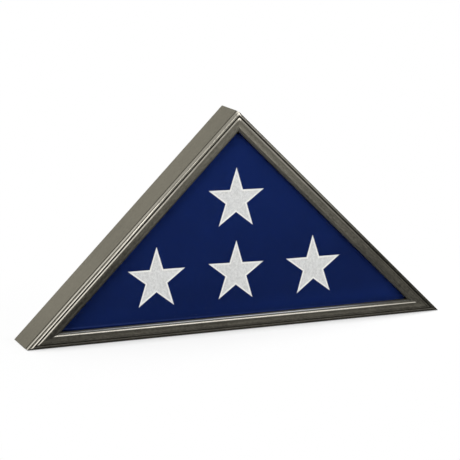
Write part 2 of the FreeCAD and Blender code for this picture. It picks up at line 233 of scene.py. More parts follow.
def new_piece(name, points, quads, triangles=NO_TRIANGLES, corners=None):
    """A mesh object from arrays of points and faces, with UV corners in face order."""
    sides = np.repeat([4, 3], [len(quads), len(triangles)])
    order = np.concatenate([quads.ravel(), triangles.ravel()])
    mesh = bpy.data.meshes.new(name)
    mesh.vertices.add(len(points))
    mesh.vertices.foreach_set("co", points.astype(np.float32).ravel())
    mesh.loops.add(len(order))
    mesh.loops.foreach_set("vertex_index", order.astype(np.int32))
    mesh.polygons.add(len(sides))
    mesh.polygons.foreach_set("loop_start", (np.cumsum(sides) - sides).astype(np.int32))
    if corners is not None:
        layer = mesh.uv_layers.new(name="UVMap")
        layer.data.foreach_set("uv", corners.astype(np.float32).ravel())
    mesh.update(calc_edges=True)
    mesh.validate()
    mesh.shade_smooth()
    piece = bpy.data.objects.new(name, mesh)
    bpy.context.scene.collection.objects.link(piece)
    return piece


def ring_faces(rings, columns, closed=True):
    """Quads of a grid of rings by columns. The last column meets the first if closed.

    Also gives each corner's ring and column, with the closing column counted on.
    """
    spans = columns if closed else columns - 1
    ring, column = np.meshgrid(np.arange(rings - 1), np.arange(spans), indexing="ij")
    ring_of = np.stack([ring, ring, ring + 1, ring + 1], -1).reshape(-1, 4)
    column_of = np.stack([column, column + 1, column + 1, column], -1).reshape(-1, 4)
    return ring_of * columns + column_of % columns, ring_of, column_of


def cap_faces(first, columns, pole, flip=False):
    """Triangles from a ring of points to its pole."""
    column = np.arange(columns)
    fan = np.stack([first + column, first + (column + 1) % columns, np.full(columns, pole)], -1)
    return fan[:, ::-1] if flip else fan


def grid_points(flat, y):
    """Points of a grid, from its X and Z places and its depths."""
    return np.stack([flat[..., 0], y, flat[..., 1]], -1).reshape(-1, 3)


def stack_meshes(parts):
    """Join (points, quads, triangles) meshes into one set of arrays."""
    counts = np.cumsum([0] + [len(points) for points, _, _ in parts])
    points = np.concatenate([part[0] for part in parts])
    quads = np.concatenate([part[1] + start for part, start in zip(parts, counts)])
    triangles = np.concatenate([part[2] + start for part, start in zip(parts, counts)])
    return points, quads, triangles


CORNER_HALF_ANGLES = np.radians([22.5, 22.5, 45.0])
CORNER_POINTS = 24


def triangle_outline(inset, corner, count):
    """Outline of the case's triangle, drawn in by inset, with round corners.

    Each corner is an arc that touches both of its sides. The points lie at equal steps
    along the line, from the left end of the base. Gives the points, the side on which
    each lies (0 base, 1 right, 2 left), and the middle and radius of the inscribed
    circle: the radius is twice the triangle's area over the sum of its sides.
    """
    reach = inset / math.tan(CORNER_HALF_ANGLES[0])
    ends = np.array([
        [-HALF_WIDTH + reach, inset],
        [HALF_WIDTH - reach, inset],
        [0.0, HEIGHT - inset * math.sqrt(2)],
    ])
    along = np.roll(ends, -1, 0) - ends
    lengths = np.linalg.norm(along, axis=1)
    along /= lengths[:, None]
    inward = np.stack([-along[:, 1], along[:, 0]], 1)
    setback = corner / np.tan(CORNER_HALF_ANGLES)
    turn = np.linspace(0.0, 1.0, CORNER_POINTS)[:, None]
    line = []
    for side, half_angle in enumerate(CORNER_HALF_ANGLES):
        before = inward[side - 1]
        centre = ends[side] + along[side] * setback[side] + inward[side] * corner
        angle = np.arctan2(-before[1], -before[0]) + turn * (math.pi - 2 * half_angle)
        line.append(centre + corner * np.concatenate([np.cos(angle), np.sin(angle)], 1))
    line = np.concatenate(line + [line[0][:1]])
    travelled = np.concatenate([[0.0], np.cumsum(np.linalg.norm(np.diff(line, axis=0), axis=1))])
    steps = np.linspace(0.0, travelled[-1], count, endpoint=False)
    points = np.stack([np.interp(steps, travelled, line[:, axis]) for axis in (0, 1)], 1)
    radius = lengths[0] * (ends[2, 1] - ends[0, 1]) / lengths.sum()
    middle = np.array([0.0, ends[0, 1] + radius])
    offsets = np.stack([(points - ends[side]) @ inward[side] for side in range(3)], 1)
    return points, offsets.argmin(1), middle, radius


# Finishes


@dataclass
class Run:
    """One moulding's place, and how its lacquer varies.

    A rub and highlight is a share of bright metal, partly wear and partly a painted highlight,
    and a painted light or shade is added to the lacquer's shade. Each moulding has its own, so
    the three are lit and shaded copies of one lacquer. Where either is a pair, it goes from its
    first value to its second towards the near end.
    """

    # Its turn about Y, its first outer corner, and its near end's place along it in mm
    turn: float
    start: tuple
    near_end: float
    # Colour of its gloss at a low angle
    edge_tint: tuple
    corner_rub_and_highlight: tuple = (0.0, 0.0)
    face_rub_and_highlight: tuple = (0.0, 0.0)
    side_rub_and_highlight: tuple = (0.0, 0.0)
    groove_painted_light: float = 0.0
    lip_rub_and_painted_light: float = 0.02
    # How far the painted highlight line on the corner bead spreads, how dark the groove's wash and
    # painted shade are, how strong the grain
    spread: float = 0.0
    glaze_and_shade: float = 1.0
    grain: float = 1.0
    painted_end_light: float = 0.0
    painted_side_light: float = 0.0
    painted_sight_shade: float = 0.0
    painted_edge_light: float = 0.0
    painted_bead_shade: float = 0.0
    painted_face_light: tuple = (0.0, 0.0)
    painted_rim_light: tuple = (0.0, 0.0)
    # A stretch of painted shade: its nearness to the near end, from 0 to 1, and how dark it is
    painted_dip_place: float = 0.5
    painted_dip_shade: float = 0.0


MOULDING_RUNS = {
    "bottom_rail": Run(
        turn=0.0, start=(-HALF_WIDTH, FRONT, 0.0), near_end=0.0, edge_tint=(0.4, 0.39, 0.34),
        groove_painted_light=0.17, lip_rub_and_painted_light=0.6, glaze_and_shade=0.0, grain=0.65,
        painted_end_light=-0.07, painted_edge_light=-0.14, painted_bead_shade=-0.05, painted_face_light=(0.1, 0.1),
    ),
    "left_rail": Run(
        turn=LEFT_TURN, start=(0.0, FRONT, HEIGHT), near_end=0.0, edge_tint=(0.71, 0.69, 0.63),
        corner_rub_and_highlight=(1.1, 0.07), face_rub_and_highlight=(1.05, 0.32), side_rub_and_highlight=(0.61, 0.19), spread=1.0,
        painted_end_light=0.38, painted_side_light=0.3, painted_sight_shade=-0.34, painted_edge_light=0.28, painted_bead_shade=-0.25,
        painted_face_light=(-0.05, 0.15), painted_rim_light=(0.2, 0.5), painted_dip_place=0.68, painted_dip_shade=-0.05,
    ),
    "right_rail": Run(
        turn=RIGHT_TURN, start=(HALF_WIDTH, FRONT, 0.0), near_end=math.hypot(HALF_WIDTH, HEIGHT) / MM,
        edge_tint=(0.62, 0.6, 0.54),
        corner_rub_and_highlight=(0.0, 0.13), face_rub_and_highlight=(0.0, 0.17), side_rub_and_highlight=(0.0, 0.08),
        painted_end_light=0.46, painted_side_light=0.15, painted_sight_shade=-0.22, painted_edge_light=0.3, painted_bead_shade=-0.5,
        painted_face_light=(0.12, 0.2), painted_rim_light=(0.4, -0.05), painted_dip_place=0.2, painted_dip_shade=-0.11,
    ),
}

# Places across a moulding in mm, inward from its outer face
OUTER_FACE = (0.9, 1.6)
CORNER_FLANK = (0.9, 2.0)
CORNER_LINE = (1.9, 2.5, 3.1, 3.8)
CORNER_SPREAD, CORNER_DRAW = 1.9, 0.4
EDGE_TO_FACE = (3.0, 14.0)
BEAD_TO_GROOVE = (4.0, 5.5)
GROOVE, GROOVE_REACH = 4.92, 1.2
FACE_LINE = (6.1, 6.7, 8.0, 8.7)
FACE_START = (7.6, 8.3)
FACE_TO_SIGHT = (8.0, 19.0)
FACE_MIDDLE, FACE_REACH = 12.5, 5.5
LIP_ROUND = (15.5, 19.0)
LIP_LINE, LIP_SLANT = 16.85, 0.0017
LIP_EDGE, LIP_EDGE_REACH = 19.8, 1.3
SIGHT_EDGE = (19.4, 20.4)

# Places across a moulding in mm, behind its front
CORNER_DEPTH = (0.9, 2.0)
FACE_LINE_DEPTH = (1.0, 1.6)
FLANK, FLANK_REACH = 2.0, 2.2
GROOVE_DEPTH = (2.0, 3.2)
BEAD_DEPTH = (3.0, 5.0)
FIRST_QUIRK, FIRST_QUIRK_REACH = 4.1, 0.6
REBATE_DEPTH = (4.5, 9.5)
FACE_DEPTH = (5.5, 7.0)
SIDE_BEAD, SIDE_BEAD_REACH = 5.6, 3.0
SIDE_START = (8.0, 14.0)
SECOND_QUIRK, SECOND_QUIRK_REACH = 12.4, 0.8

# Distances along a moulding in mm, the first three of them from its near end
NEAR_REACH = 420.0
SPREAD_FADE = (60.0, 330.0)
MITRE_FADE = (0.5, 5.0)
LIP_TAPER = (500.0, 590.0)
LIP_EDGE_FADE = (400.0, 560.0)

# Reach of a stretch of painted shade, in nearness
PAINTED_DIP_REACH = 0.22

# Colours of the worn crests with their painted highlights, in warm light, and of the painted reflection
# on the lip's edge, in cool light
RUB_AND_HIGHLIGHT_METAL = (1.0, 0.95, 0.84)
LIP_REFLECTION_METAL = (0.86, 0.9, 0.96)

Measures = namedtuple("Measures", "along behind inward nearness spread mitre side outer face groove")
Grain = namedtuple("Grain", "brushed streaks short flake mottled broad")


def moulding_measures(finish, local, run):
    """Where a point lies on a moulding.

    Along, behind and inward are in mm. Nearness and spread grow from 0 towards the near
    end, and mitre is 1 at that end's joint. Side, outer, face and groove are 1 there.
    """
    along, behind, inward = [part * (1 / MM) for part in finish.parts(local)]
    away = abs(along - run.near_end)
    return Measures(
        along=along,
        behind=behind,
        inward=inward,
        nearness=away.fall(0.0, NEAR_REACH),
        spread=away.fall(*SPREAD_FADE) * run.spread,
        mitre=(away - inward).fall(*MITRE_FADE),
        side=behind.ramp(*SIDE_START),
        outer=inward.fall(*OUTER_FACE),
        face=inward.ramp(*FACE_START) * behind.fall(*FACE_DEPTH),
        groove=inward.near(GROOVE, GROOVE_REACH) * behind.fall(*GROOVE_DEPTH),
    )


def lacquer_grain(finish, local):
    """Noises of the lacquer: four that are drawn out along the moulding, and two of clouds."""
    return Grain(
        brushed=finish.grain(local, (14.0, 900.0, 900.0), 2.0, 0.6),
        streaks=finish.grain(local, (6.0, 260.0, 260.0), 3.0, 0.6),
        short=finish.grain(local, (45.0, 260.0, 260.0), 3.0, 0.6),
        flake=finish.grain(local, (240.0, 700.0, 700.0), 1.0, 0.5),
        mottled=finish.noise(local, 75.0, 4.0, 0.6),
        broad=finish.noise(local, 9.0, 2.0, 0.5),
    )


def rubs_and_highlights(at, run):
    """Share of bright metal along the crests of the beads and of the lip.

    The crests are partly worn and partly painted highlights, and the groove gets painted light.
    The highlight line on the corner bead moves outwards and down its flank where it spreads. The
    painted highlight line on the lip slants, grows and at last tapers along the moulding. At the
    mitre the beads carry painted glints as well as wear.
    """
    start, full, fade, stop = CORNER_LINE
    outwards = CORNER_SPREAD * at.spread
    drawn = at.inward + at.spread.ramp(0.0, CORNER_DRAW, 0.0, CORNER_DRAW)
    corner = at.inward.ramp(start - outwards, full - outwards) * drawn.fall(fade, stop)
    corner = corner * at.behind.fall(*CORNER_DEPTH) * at.nearness.ramp(0.05, 0.75, *run.corner_rub_and_highlight)
    flank = at.behind.near(FLANK, FLANK_REACH) * at.inward.fall(*CORNER_FLANK) * at.spread * 0.19
    face = at.inward.band(*FACE_LINE) * at.behind.fall(*FACE_LINE_DEPTH)
    face = face * at.nearness.ramp(0.0, 1.0, *run.face_rub_and_highlight)
    side = at.behind.near(SIDE_BEAD, SIDE_BEAD_REACH) * at.outer
    side = side * at.nearness.ramp(0.0, 1.0, *run.side_rub_and_highlight)
    # Painted glints and wear where the beads meet at the mitre
    beads = (corner.most(flank) + face + side) * (1 + 4.0 * at.mitre)
    # Painted highlight line along the lip's round
    lip = at.inward.near(LIP_LINE - LIP_SLANT * at.along, at.along.ramp(*LIP_TAPER, 1.4, 0.9))
    lip = lip * (0.8 + 0.0007 * at.along) * at.face
    # Painted light in the groove, added to the beads and the lip's painted highlight
    return beads + at.groove * run.groove_painted_light + lip * run.lip_rub_and_painted_light


def lacquer_shade_and_painted_light(at, grain, run):
    """Shade of the lacquer: its grain, then painted light and shade towards ends, edges and lip."""
    lines = 0.4 * (grain.streaks - 0.5) + 0.5 * (grain.short - 0.5) + 1.1 * (grain.flake - 0.5)
    clouds = 0.3 * (grain.mottled - 0.5) + 0.15 * (grain.broad - 0.5)
    front = 1 - at.side
    # Painted light and shade: towards the near end, on the side face, the sight edge, mid-face, the lip's
    # round, a dark stretch, the outer edge and the beads
    painted_light_and_shade = (
        run.painted_end_light * at.nearness * front,
        run.painted_side_light * at.side * at.nearness.ramp(0.0, 0.35, 1.0, 0.1),
        run.painted_sight_shade * at.inward.ramp(*FACE_TO_SIGHT),
        at.nearness.ramp(0.1, 0.4, *run.painted_face_light) * at.inward.near(FACE_MIDDLE, FACE_REACH),
        at.nearness.ramp(0.0, 1.0, *run.painted_rim_light) * at.inward.ramp(*LIP_ROUND),
        run.painted_dip_shade * at.nearness.near(run.painted_dip_place, PAINTED_DIP_REACH) * front,
        run.painted_edge_light * at.inward.fall(*EDGE_TO_FACE),
        run.painted_bead_shade * at.inward.fall(*BEAD_TO_GROOVE) * at.behind.fall(*BEAD_DEPTH),
    )
    return sum(painted_light_and_shade, 0.63 + 0.3 * grain.brushed + run.grain * lines + clouds)


def moulding_finish(name, tone, run):
    """Satin gunmetal lacquer, brushed along the moulding, with a dark wash and painted shade in its
    grooves.

    The moulding's own measures come from Object coordinates turned to its direction. The
    crests are worn back towards bright metal, with painted highlights on them, the lacquer
    carries painted light and shade, and the lip's edge a painted reflection. Inside the lip
    the lacquer is plain, with hardly any metal in it, painted lighter at the front and in
    painted shade towards the back.
    """
    finish = new_finish(name)
    local = finish.turned(run.turn, run.start)
    at = moulding_measures(finish, local, run)
    grain = lacquer_grain(finish, local)
    rub_and_highlight = rubs_and_highlights(at, run).least(1.0)
    # A dark wash in the groove and the quirk lines, which also paints their shade
    quirk_glaze_and_shade = at.behind.near(FIRST_QUIRK, FIRST_QUIRK_REACH) * 0.4
    quirk_glaze_and_shade = quirk_glaze_and_shade + at.behind.near(SECOND_QUIRK, SECOND_QUIRK_REACH) * 0.8
    glaze_and_shade = (at.groove * run.glaze_and_shade + quirk_glaze_and_shade * at.outer).least(1.0)
    # Painted reflection, bluish, on the lip's edge
    lip_reflection = at.inward.near(LIP_EDGE, LIP_EDGE_REACH) * (0.2 + 0.0024 * at.along)
    lip_reflection = lip_reflection * at.along.ramp(*LIP_EDGE_FADE, 1.0, 0.1) * at.face * run.lip_rub_and_painted_light
    rebate = at.inward.ramp(*SIGHT_EDGE)
    # The lacquer's grain with its painted light and shade
    shade = lacquer_shade_and_painted_light(at, grain, run).ramp(0.2, 1.9)
    metal = finish.blend(shade, colour(tone, 0.35), colour(tone, 3.2))
    # Worn crests with painted highlights, in bright warm metal
    metal = finish.blend(rub_and_highlight * (1.0 + 0.5 * (grain.mottled - 0.5)), metal, colour(RUB_AND_HIGHLIGHT_METAL))
    metal = finish.blend(lip_reflection, metal, colour(LIP_REFLECTION_METAL))
    metal = finish.blend(glaze_and_shade * 0.92, metal, colour(tone, 0.1))
    # Inside the lip: painted light at the front, painted shade towards the back
    inner = finish.blend(at.behind.ramp(*REBATE_DEPTH), colour(tone, 2.4), colour(tone, 0.5))
    metal = finish.blend(rebate, metal, inner)
    roughness = 0.3 + 0.1 * grain.brushed + 0.08 * (grain.mottled - 0.5) - 0.18 * rub_and_highlight + 0.2 * glaze_and_shade
    relief = finish.bump(grain.brushed * 0.7 + grain.streaks * 0.3, 0.06 * MM, 0.15)
    return finish.principled(
        Base_Color=metal, Metallic=1 - 0.8 * rebate, Roughness=roughness, Normal=relief,
        Specular_Tint=colour(run.edge_tint), Coat_Weight=0.05, Coat_Roughness=0.2,
    )


GLASS_IOR = 1.03
GLASS_TINT = (0.992, 0.993, 0.992)


def glass_finish():
    """Clear picture glass with a coating that leaves only a faint reflection."""
    finish = new_finish("picture_glass")
    reflected = finish.node("ShaderNodeFresnel", inputs={"IOR": GLASS_IOR})
    clear = finish.node("ShaderNodeBsdfTransparent", inputs={"Color": colour(GLASS_TINT)})
    mirror = finish.node("ShaderNodeBsdfGlossy", inputs={"Color": WHITE, "Roughness": 0.03})
    return finish.surface(finish.node("ShaderNodeMixShader", inputs={0: reflected, 1: clear, 2: mirror}))


def waves(pitch):
    """Radians in a metre of a sine wave with this length."""
    return 2 * math.pi / pitch


THREAD_PITCH = 0.55 * MM
CREASE_HEIGHT, CREASE_REACH, CREASE_SLOPE = 20.8 * MM, 1.8 * MM, 0.0062
CREASE_HIGHLIGHT_BLUE = (0.03, 0.052, 0.2)
CLOTH_SHEEN = (0.35, 0.45, 0.9)


def bunting_finish(tone):
    """Plain-woven cotton: two sets of threads that pass over each other in turn.

    It is painted lighter towards the apex and along the base, and a painted highlight line
    runs along the base, where the cloth is pressed into a fold.
    """
    finish = new_finish("blue_cotton")
    place = finish.position()
    x, _, z = finish.parts(place)
    wobble = (finish.noise(place, 90.0, 2.0) - 0.5) * 2.2
    weave = (x * waves(THREAD_PITCH) + wobble).sine() * (z * waves(THREAD_PITCH) + wobble).sine()
    slub = finish.grain(place, (60.0, 60.0, 900.0), 2.0)
    slub = slub + finish.grain(place, (900.0, 60.0, 60.0), 2.0) - 1.0
    cloud = finish.noise(place, 14.0, 3.0) - 0.5
    # Painted light: lighter towards the apex, and in a band along the base that grows to the right
    painted_cloth_light = 0.45 * z.ramp(FLAG_LOW.z, FLAG_HIGH.z) + z.fall(20 * MM, 56 * MM) * (0.4 + 0.8 * x)
    # Painted highlight line along the base, where the cloth is folded
    crease_highlight = (z + CREASE_SLOPE * x).near(CREASE_HEIGHT, CREASE_REACH)
    shade = 0.36 + 0.16 * weave + 0.35 * slub + 0.55 * cloud + painted_cloth_light
    cloth = finish.blend(shade.ramp(0.0, 1.2), colour(tone, 0.8), colour(tone, 1.4))
    cloth = finish.blend(0.6 * crease_highlight, cloth, colour(CREASE_HIGHLIGHT_BLUE))
    relief = finish.bump(0.5 * weave + 0.4 * slub, 0.12 * MM, 0.5)
    return finish.principled(
        Base_Color=cloth, Roughness=0.88 - 0.1 * weave, Normal=relief, Specular_IOR_Level=0.06,
        Sheen_Weight=0.02, Sheen_Roughness=0.45, Sheen_Tint=colour(CLOTH_SHEEN),
    )


STITCH_PITCH = 0.7 * MM
TWILL_PITCH = 0.9 * MM


def star_finish(ground, edge, border):
    """White appliqué: twill in the middle, close satin stitches across the border.

    The UV map holds, in metres, the way round the star and the way in from its edge.
    """
    finish = new_finish("white_star_cloth")
    place = finish.position()
    x, _, z = finish.parts(place)
    around, inset, _ = finish.parts(finish.node("ShaderNodeTexCoord", output="UV"))
    stitched = inset.fall(border * 0.9, border * 1.1)
    ragged = (finish.noise(place, 1500.0, 1.0) - 0.5) * 1.5
    stitch = (around * waves(STITCH_PITCH) + ragged).sine()
    wobble = (finish.noise(place, 160.0, 2.0) - 0.5) * 3.0
    twill = ((x + z) * waves(TWILL_PITCH) + wobble).sine()
    fill = finish.grain(place, (420.0, 420.0, 300.0), 4.0, 0.65) - 0.5
    shade = 0.5 + 0.12 * twill + 2.2 * fill
    middle = finish.blend(shade.ramp(0.0, 1.0), colour(ground, 0.82), colour(ground, 1.1))
    rim = finish.blend(0.5 + 0.5 * stitch, colour(edge, 0.93), colour(edge))
    cloth = finish.blend(stitched, middle, rim)
    height = stitched * stitch * 0.5 + (1 - stitched) * (0.35 * twill + 0.4 * fill)
    relief = finish.bump(height, 0.2 * MM, 0.45)
    return finish.principled(
        Base_Color=cloth, Roughness=0.8 - 0.25 * stitched, Normal=relief,
        Sheen_Weight=0.08, Sheen_Roughness=0.5,
    )


def stained_wood_finish(name, tone, turn):
    """Black-stained softwood: long grain with open pores that the stain has filled."""
    finish = new_finish(name)
    local = finish.turned(turn)
    grain = finish.grain(local, (5.0, 160.0, 160.0), 5.0, 0.65)
    pores = finish.grain(local, (40.0, 1300.0, 1300.0), 2.0).ramp(0.58, 0.68)
    stain = finish.blend(grain.ramp(0.3, 0.75), colour(tone, 0.6), colour(tone, 1.5))
    stain = finish.blend(pores * 0.6, stain, colour(tone, 0.3))
    relief = finish.bump(grain - 0.5 * pores, 0.3 * MM, 0.4)
    return finish.principled(Base_Color=stain, Roughness=0.5 + 0.25 * grain, Normal=relief)


PALE_FIBRE = (0.16, 0.14, 0.12)
PALE_SCUFF = (0.2, 0.19, 0.18)


def board_finish(tone):
    """Dark-faced fibreboard: a pressed paper skin with flecks of fibre and light scuffs."""
    finish = new_finish("dark_fibreboard")
    place = finish.position()
    fibre = finish.grain(place, (420.0, 420.0, 90.0))
    fleck = finish.noise(place, 1600.0, 1.0).ramp(0.62, 0.74)
    scuff = finish.grain(place, (9.0, 30.0, 70.0), 5.0, 0.7).ramp(0.6, 0.78)
    skin = finish.blend(fibre.ramp(0.25, 0.8), colour(tone, 0.75), colour(tone, 1.25))
    skin = finish.blend(fleck * 0.35, skin, colour(PALE_FIBRE))
    skin = finish.blend(scuff * 0.18, skin, colour(PALE_SCUFF))
    relief = finish.bump(fibre + 0.5 * fleck, 0.15 * MM, 0.4)
    return finish.principled(Base_Color=skin, Roughness=0.62 + 0.2 * fibre - 0.1 * scuff, Normal=relief)


GREY_LINT = (0.1, 0.1, 0.105)


def felt_finish(tone):
    """Black felt: matted fibres with lint caught in the nap."""
    finish = new_finish("black_felt")
    place = finish.position()
    nap = finish.noise(place, 900.0, 4.0, 0.7)
    mat = finish.noise(place, 120.0, 3.0)
    lint = finish.noise(place, 2300.0, 1.0).ramp(0.68, 0.78)
    cloth = finish.blend((0.6 * nap + 0.4 * mat).ramp(0.3, 0.75), colour(tone, 0.6), colour(tone, 1.6))
    cloth = finish.blend(lint * 0.25, cloth, colour(GREY_LINT))
    relief = finish.bump(nap + 0.5 * mat, 0.4 * MM, 0.6)
    return finish.principled(
        Base_Color=cloth, Roughness=0.95 - 0.05 * nap, Normal=relief,
        Sheen_Weight=0.25, Sheen_Roughness=0.5,
    )


DULL_ZINC = (0.36, 0.36, 0.35)


def zinc_finish(tone):
    """Zinc-plated steel: bright, a little cloudy, with drawn lines and a few dull spots."""
    finish = new_finish("zinc_plate")
    place = finish.position()
    drawn = finish.grain(place, (3000.0, 3000.0, 240.0), 2.0)
    cloud = finish.noise(place, 260.0, 3.0)
    spots = finish.noise(place, 900.0, 2.0).ramp(0.62, 0.75)
    plate = finish.blend(cloud.ramp(0.3, 0.7), colour(tone, 0.86), colour(tone, 1.08))
    plate = finish.blend(spots * 0.3, plate, colour(DULL_ZINC))
    relief = finish.bump(drawn, 0.04 * MM, 0.4)
    return finish.principled(
        Base_Color=plate, Metallic=1.0, Roughness=0.24 + 0.14 * cloud + 0.2 * spots, Normal=relief,
    )


def give(node, material):
    """Put a finish on a CAD node in place of the plain one."""
    slots = NODES[node].data.materials
    slots.clear()
    slots.append(material)


# Sizes and colours


def whole_number(name, description, default, low, high):
    """A number of things that the user can change."""
    return IntProperty(name=name, description=description, default=default, min=low, max=high)


def length(name, description, default):
    """A length that the user can change."""
    return FloatProperty(name=name, description=description, default=default, unit="LENGTH")


def paint(name, description, default):
    """A colour that the user can change."""
    return FloatVectorProperty(
        name=name, description=description, subtype="COLOR", size=3, min=0.0, max=1.0, default=default
    )


class FlagCaseSizes(bpy.types.PropertyGroup):
    layers: whole_number("Folds", "Triangular folds of the flag's strip", 13, 3, 21)
    plies: whole_number("Plies", "Thicknesses of cloth in the folded strip", 4, 1, 8)
    flag_hoist: length("Hoist", "Flag's width laid flat", 1.524)
    flag_fly: length("Fly", "Flag's length laid flat", 2.896)
    base_roll: length("Base roll", "Radius of the fold that the bundle stands on", 1.2 * MM)
    side_roll: length("Side roll", "Radius of the folds along the two short sides", 3.5 * MM)
    billow: length("Billow", "How far the front of the cloth dips between its high places", 0.9 * MM)
    stitch_width: length("Stitched border", "Width of the satin stitch round a star", 2.5 * MM)
    stitch_height: length("Stitch height", "How far the satin stitch stands up", 0.25 * MM)
    recess_width: length("Recess width", "Width of a screw recess's arms", 0.9 * MM)
    recess_depth: length("Recess depth", "Depth of a screw's cross recess", 1.0 * MM)


class FlagCaseColours(bpy.types.PropertyGroup):
    gunmetal: paint("Gunmetal", "Lacquer on the mouldings", (0.0403, 0.0378, 0.0304))
    blue: paint("Blue", "Cotton of the flag", (0.0034, 0.0116, 0.0695))
    star: paint("Star", "Cloth of the stars", (0.66, 0.66, 0.65))
    stitch: paint("Stitch", "Thread round the stars", (0.88, 0.87, 0.84))
    stain: paint("Stain", "Stain on the liner strips", (0.014, 0.013, 0.012))
    board: paint("Board", "Face of the back board", (0.04, 0.034, 0.029))
    felt: paint("Felt", "Lining of the back board", (0.012, 0.012, 0.013))
    zinc: paint("Zinc", "Plate on the hardware", (0.62, 0.62, 0.6))


# Mouldings and glass


class FLAGCASE_OT_mouldings(bpy.types.Operator):
    """Lacquer the three mouldings, each brushed along its own length"""

    bl_idname = "flagcase.mouldings"
    bl_label = "Mouldings"

    def execute(self, context):
        tone = context.scene.flag_case_colours.gunmetal
        for node, run in MOULDING_RUNS.items():
            give(node, moulding_finish(f"gunmetal_{node}", tone, run))
        return {"FINISHED"}


class FLAGCASE_OT_glass(bpy.types.Operator):
    """Make the front pane clear"""

    bl_idname = "flagcase.glass"
    bl_label = "Glass"

    def execute(self, context):
        give("front_glass", glass_finish())
        return {"FINISHED"}


# Flag

Detail = namedtuple("Detail", "columns rim_rings inner_rings")
SHOWN_PLY = Detail(360, 9, 46)
BURIED_PLY = Detail(60, 4, 4)
WRAP_COLUMNS, WRAP_STEPS = 180, 5
CORNER_ROUND = 2.0 * MM

# In from a ply's edge: the rim, whose rings lie closer to the edge, and where billows are full
RIM_WIDTH, RIM_POWER = 9 * MM, 1.6
FULL_BILLOW = 20 * MM

# How much each further ply is drawn in, and how much tighter its edge is rolled
PLY_INSET = 0.06 * MM
ROLL_STEP, LEAST_ROLL = 0.1 * MM, 1.2 * MM

# Share of the outline, to each side of a corner, over which one side's roll becomes the next's
ROLL_CHANGE = 1 / 20

Ply = namedtuple("Ply", "face towards inset rolls")


def billows(x, z, height):
    """Dips in a ply, from 0 to height: half of it, more or less by two products of slow waves."""
    first = np.sin(17.0 * x + 5.0 * z + 0.6) * np.sin(11.0 * x - 19.0 * z + 1.9)
    second = np.sin(31.0 * x - 12.0 * z) * np.sin(9.0 * x + 33.0 * z + 0.8)
    return height * (0.5 + 0.34 * first + 0.16 * second)


def edge_rolls(side, base_roll, side_roll):
    """Radius of the rolled edge at each outline point.

    It is the side's own roll, averaged along the outline with a bell-shaped weight.
    """
    radius = np.where(side == 0, base_roll, side_roll).astype(float)
    half = int(len(radius) * ROLL_CHANGE)
    bell = np.hanning(2 * half + 1)
    bell /= bell.sum()
    wrapped = np.concatenate([radius[-half:], radius, radius[:half]])
    return np.convolve(wrapped, bell, "valid")


def folded_ply(ply, detail, dip):
    """One ply: a triangle that lies flat and turns over a quarter round at its rim.

    Across the rim the depth follows a circle: depth = roll - sqrt(roll^2 - (roll - d)^2),
    where d is the distance in from the edge. Rings shrink towards the middle of the
    inscribed circle, so d is the same all round each ring.
    """
    outline, side, middle, radius = triangle_outline(ply.inset, CORNER_ROUND, detail.columns)
    roll = edge_rolls(side, *ply.rolls)
    rim = np.linspace(0.0, 1.0, detail.rim_rings) ** RIM_POWER * RIM_WIDTH
    inner = np.linspace(RIM_WIDTH, radius, detail.inner_rings)[1:-1]
    distance = np.concatenate([rim, inner])[:, None]
    scale = 1.0 - distance / radius
    flat = middle + scale[..., None] * (outline - middle)
    hidden = np.clip(roll - distance, 0.0, None)
    depth = roll - np.sqrt(np.clip(roll**2 - hidden**2, 0.0, None))
    sag = billows(flat[..., 0], flat[..., 1], dip) * np.clip(distance / FULL_BILLOW, 0.0, 1.0)
    grid = grid_points(flat, ply.face + ply.towards * (depth + sag))
    pole = np.array([[middle[0], ply.face + ply.towards * billows(*middle, dip), middle[1]]])
    backward = ply.towards < 0
    quads, _, _ = ring_faces(len(distance), detail.columns)
    fan = cap_faces((len(distance) - 1) * detail.columns, detail.columns, len(grid), flip=backward)
    return np.concatenate([grid, pole]), quads[:, ::-1] if backward else quads, fan


def wrap_round(near, far, edge):
    """The cloth between two plies over one side: straight back from rolled edge to rolled edge."""
    outline, side, _, _ = triangle_outline(near.inset, CORNER_ROUND, WRAP_COLUMNS)
    roll = edge_rolls(side, *near.rolls)
    chosen = np.flatnonzero(side == edge)
    if np.any(np.diff(chosen) > 1):
        split = int(np.argmax(np.diff(chosen))) + 1
        chosen = np.concatenate([chosen[split:], chosen[:split]])
    share = np.linspace(0.0, 1.0, WRAP_STEPS)[:, None]
    y = (near.face + roll[chosen]) * (1 - share) + (far.face - roll[chosen]) * share
    flat = np.broadcast_to(outline[chosen], y.shape + (2,))
    quads, _, _ = ring_faces(WRAP_STEPS, len(chosen), closed=False)
    return grid_points(flat, y), quads[:, ::-1], NO_TRIANGLES


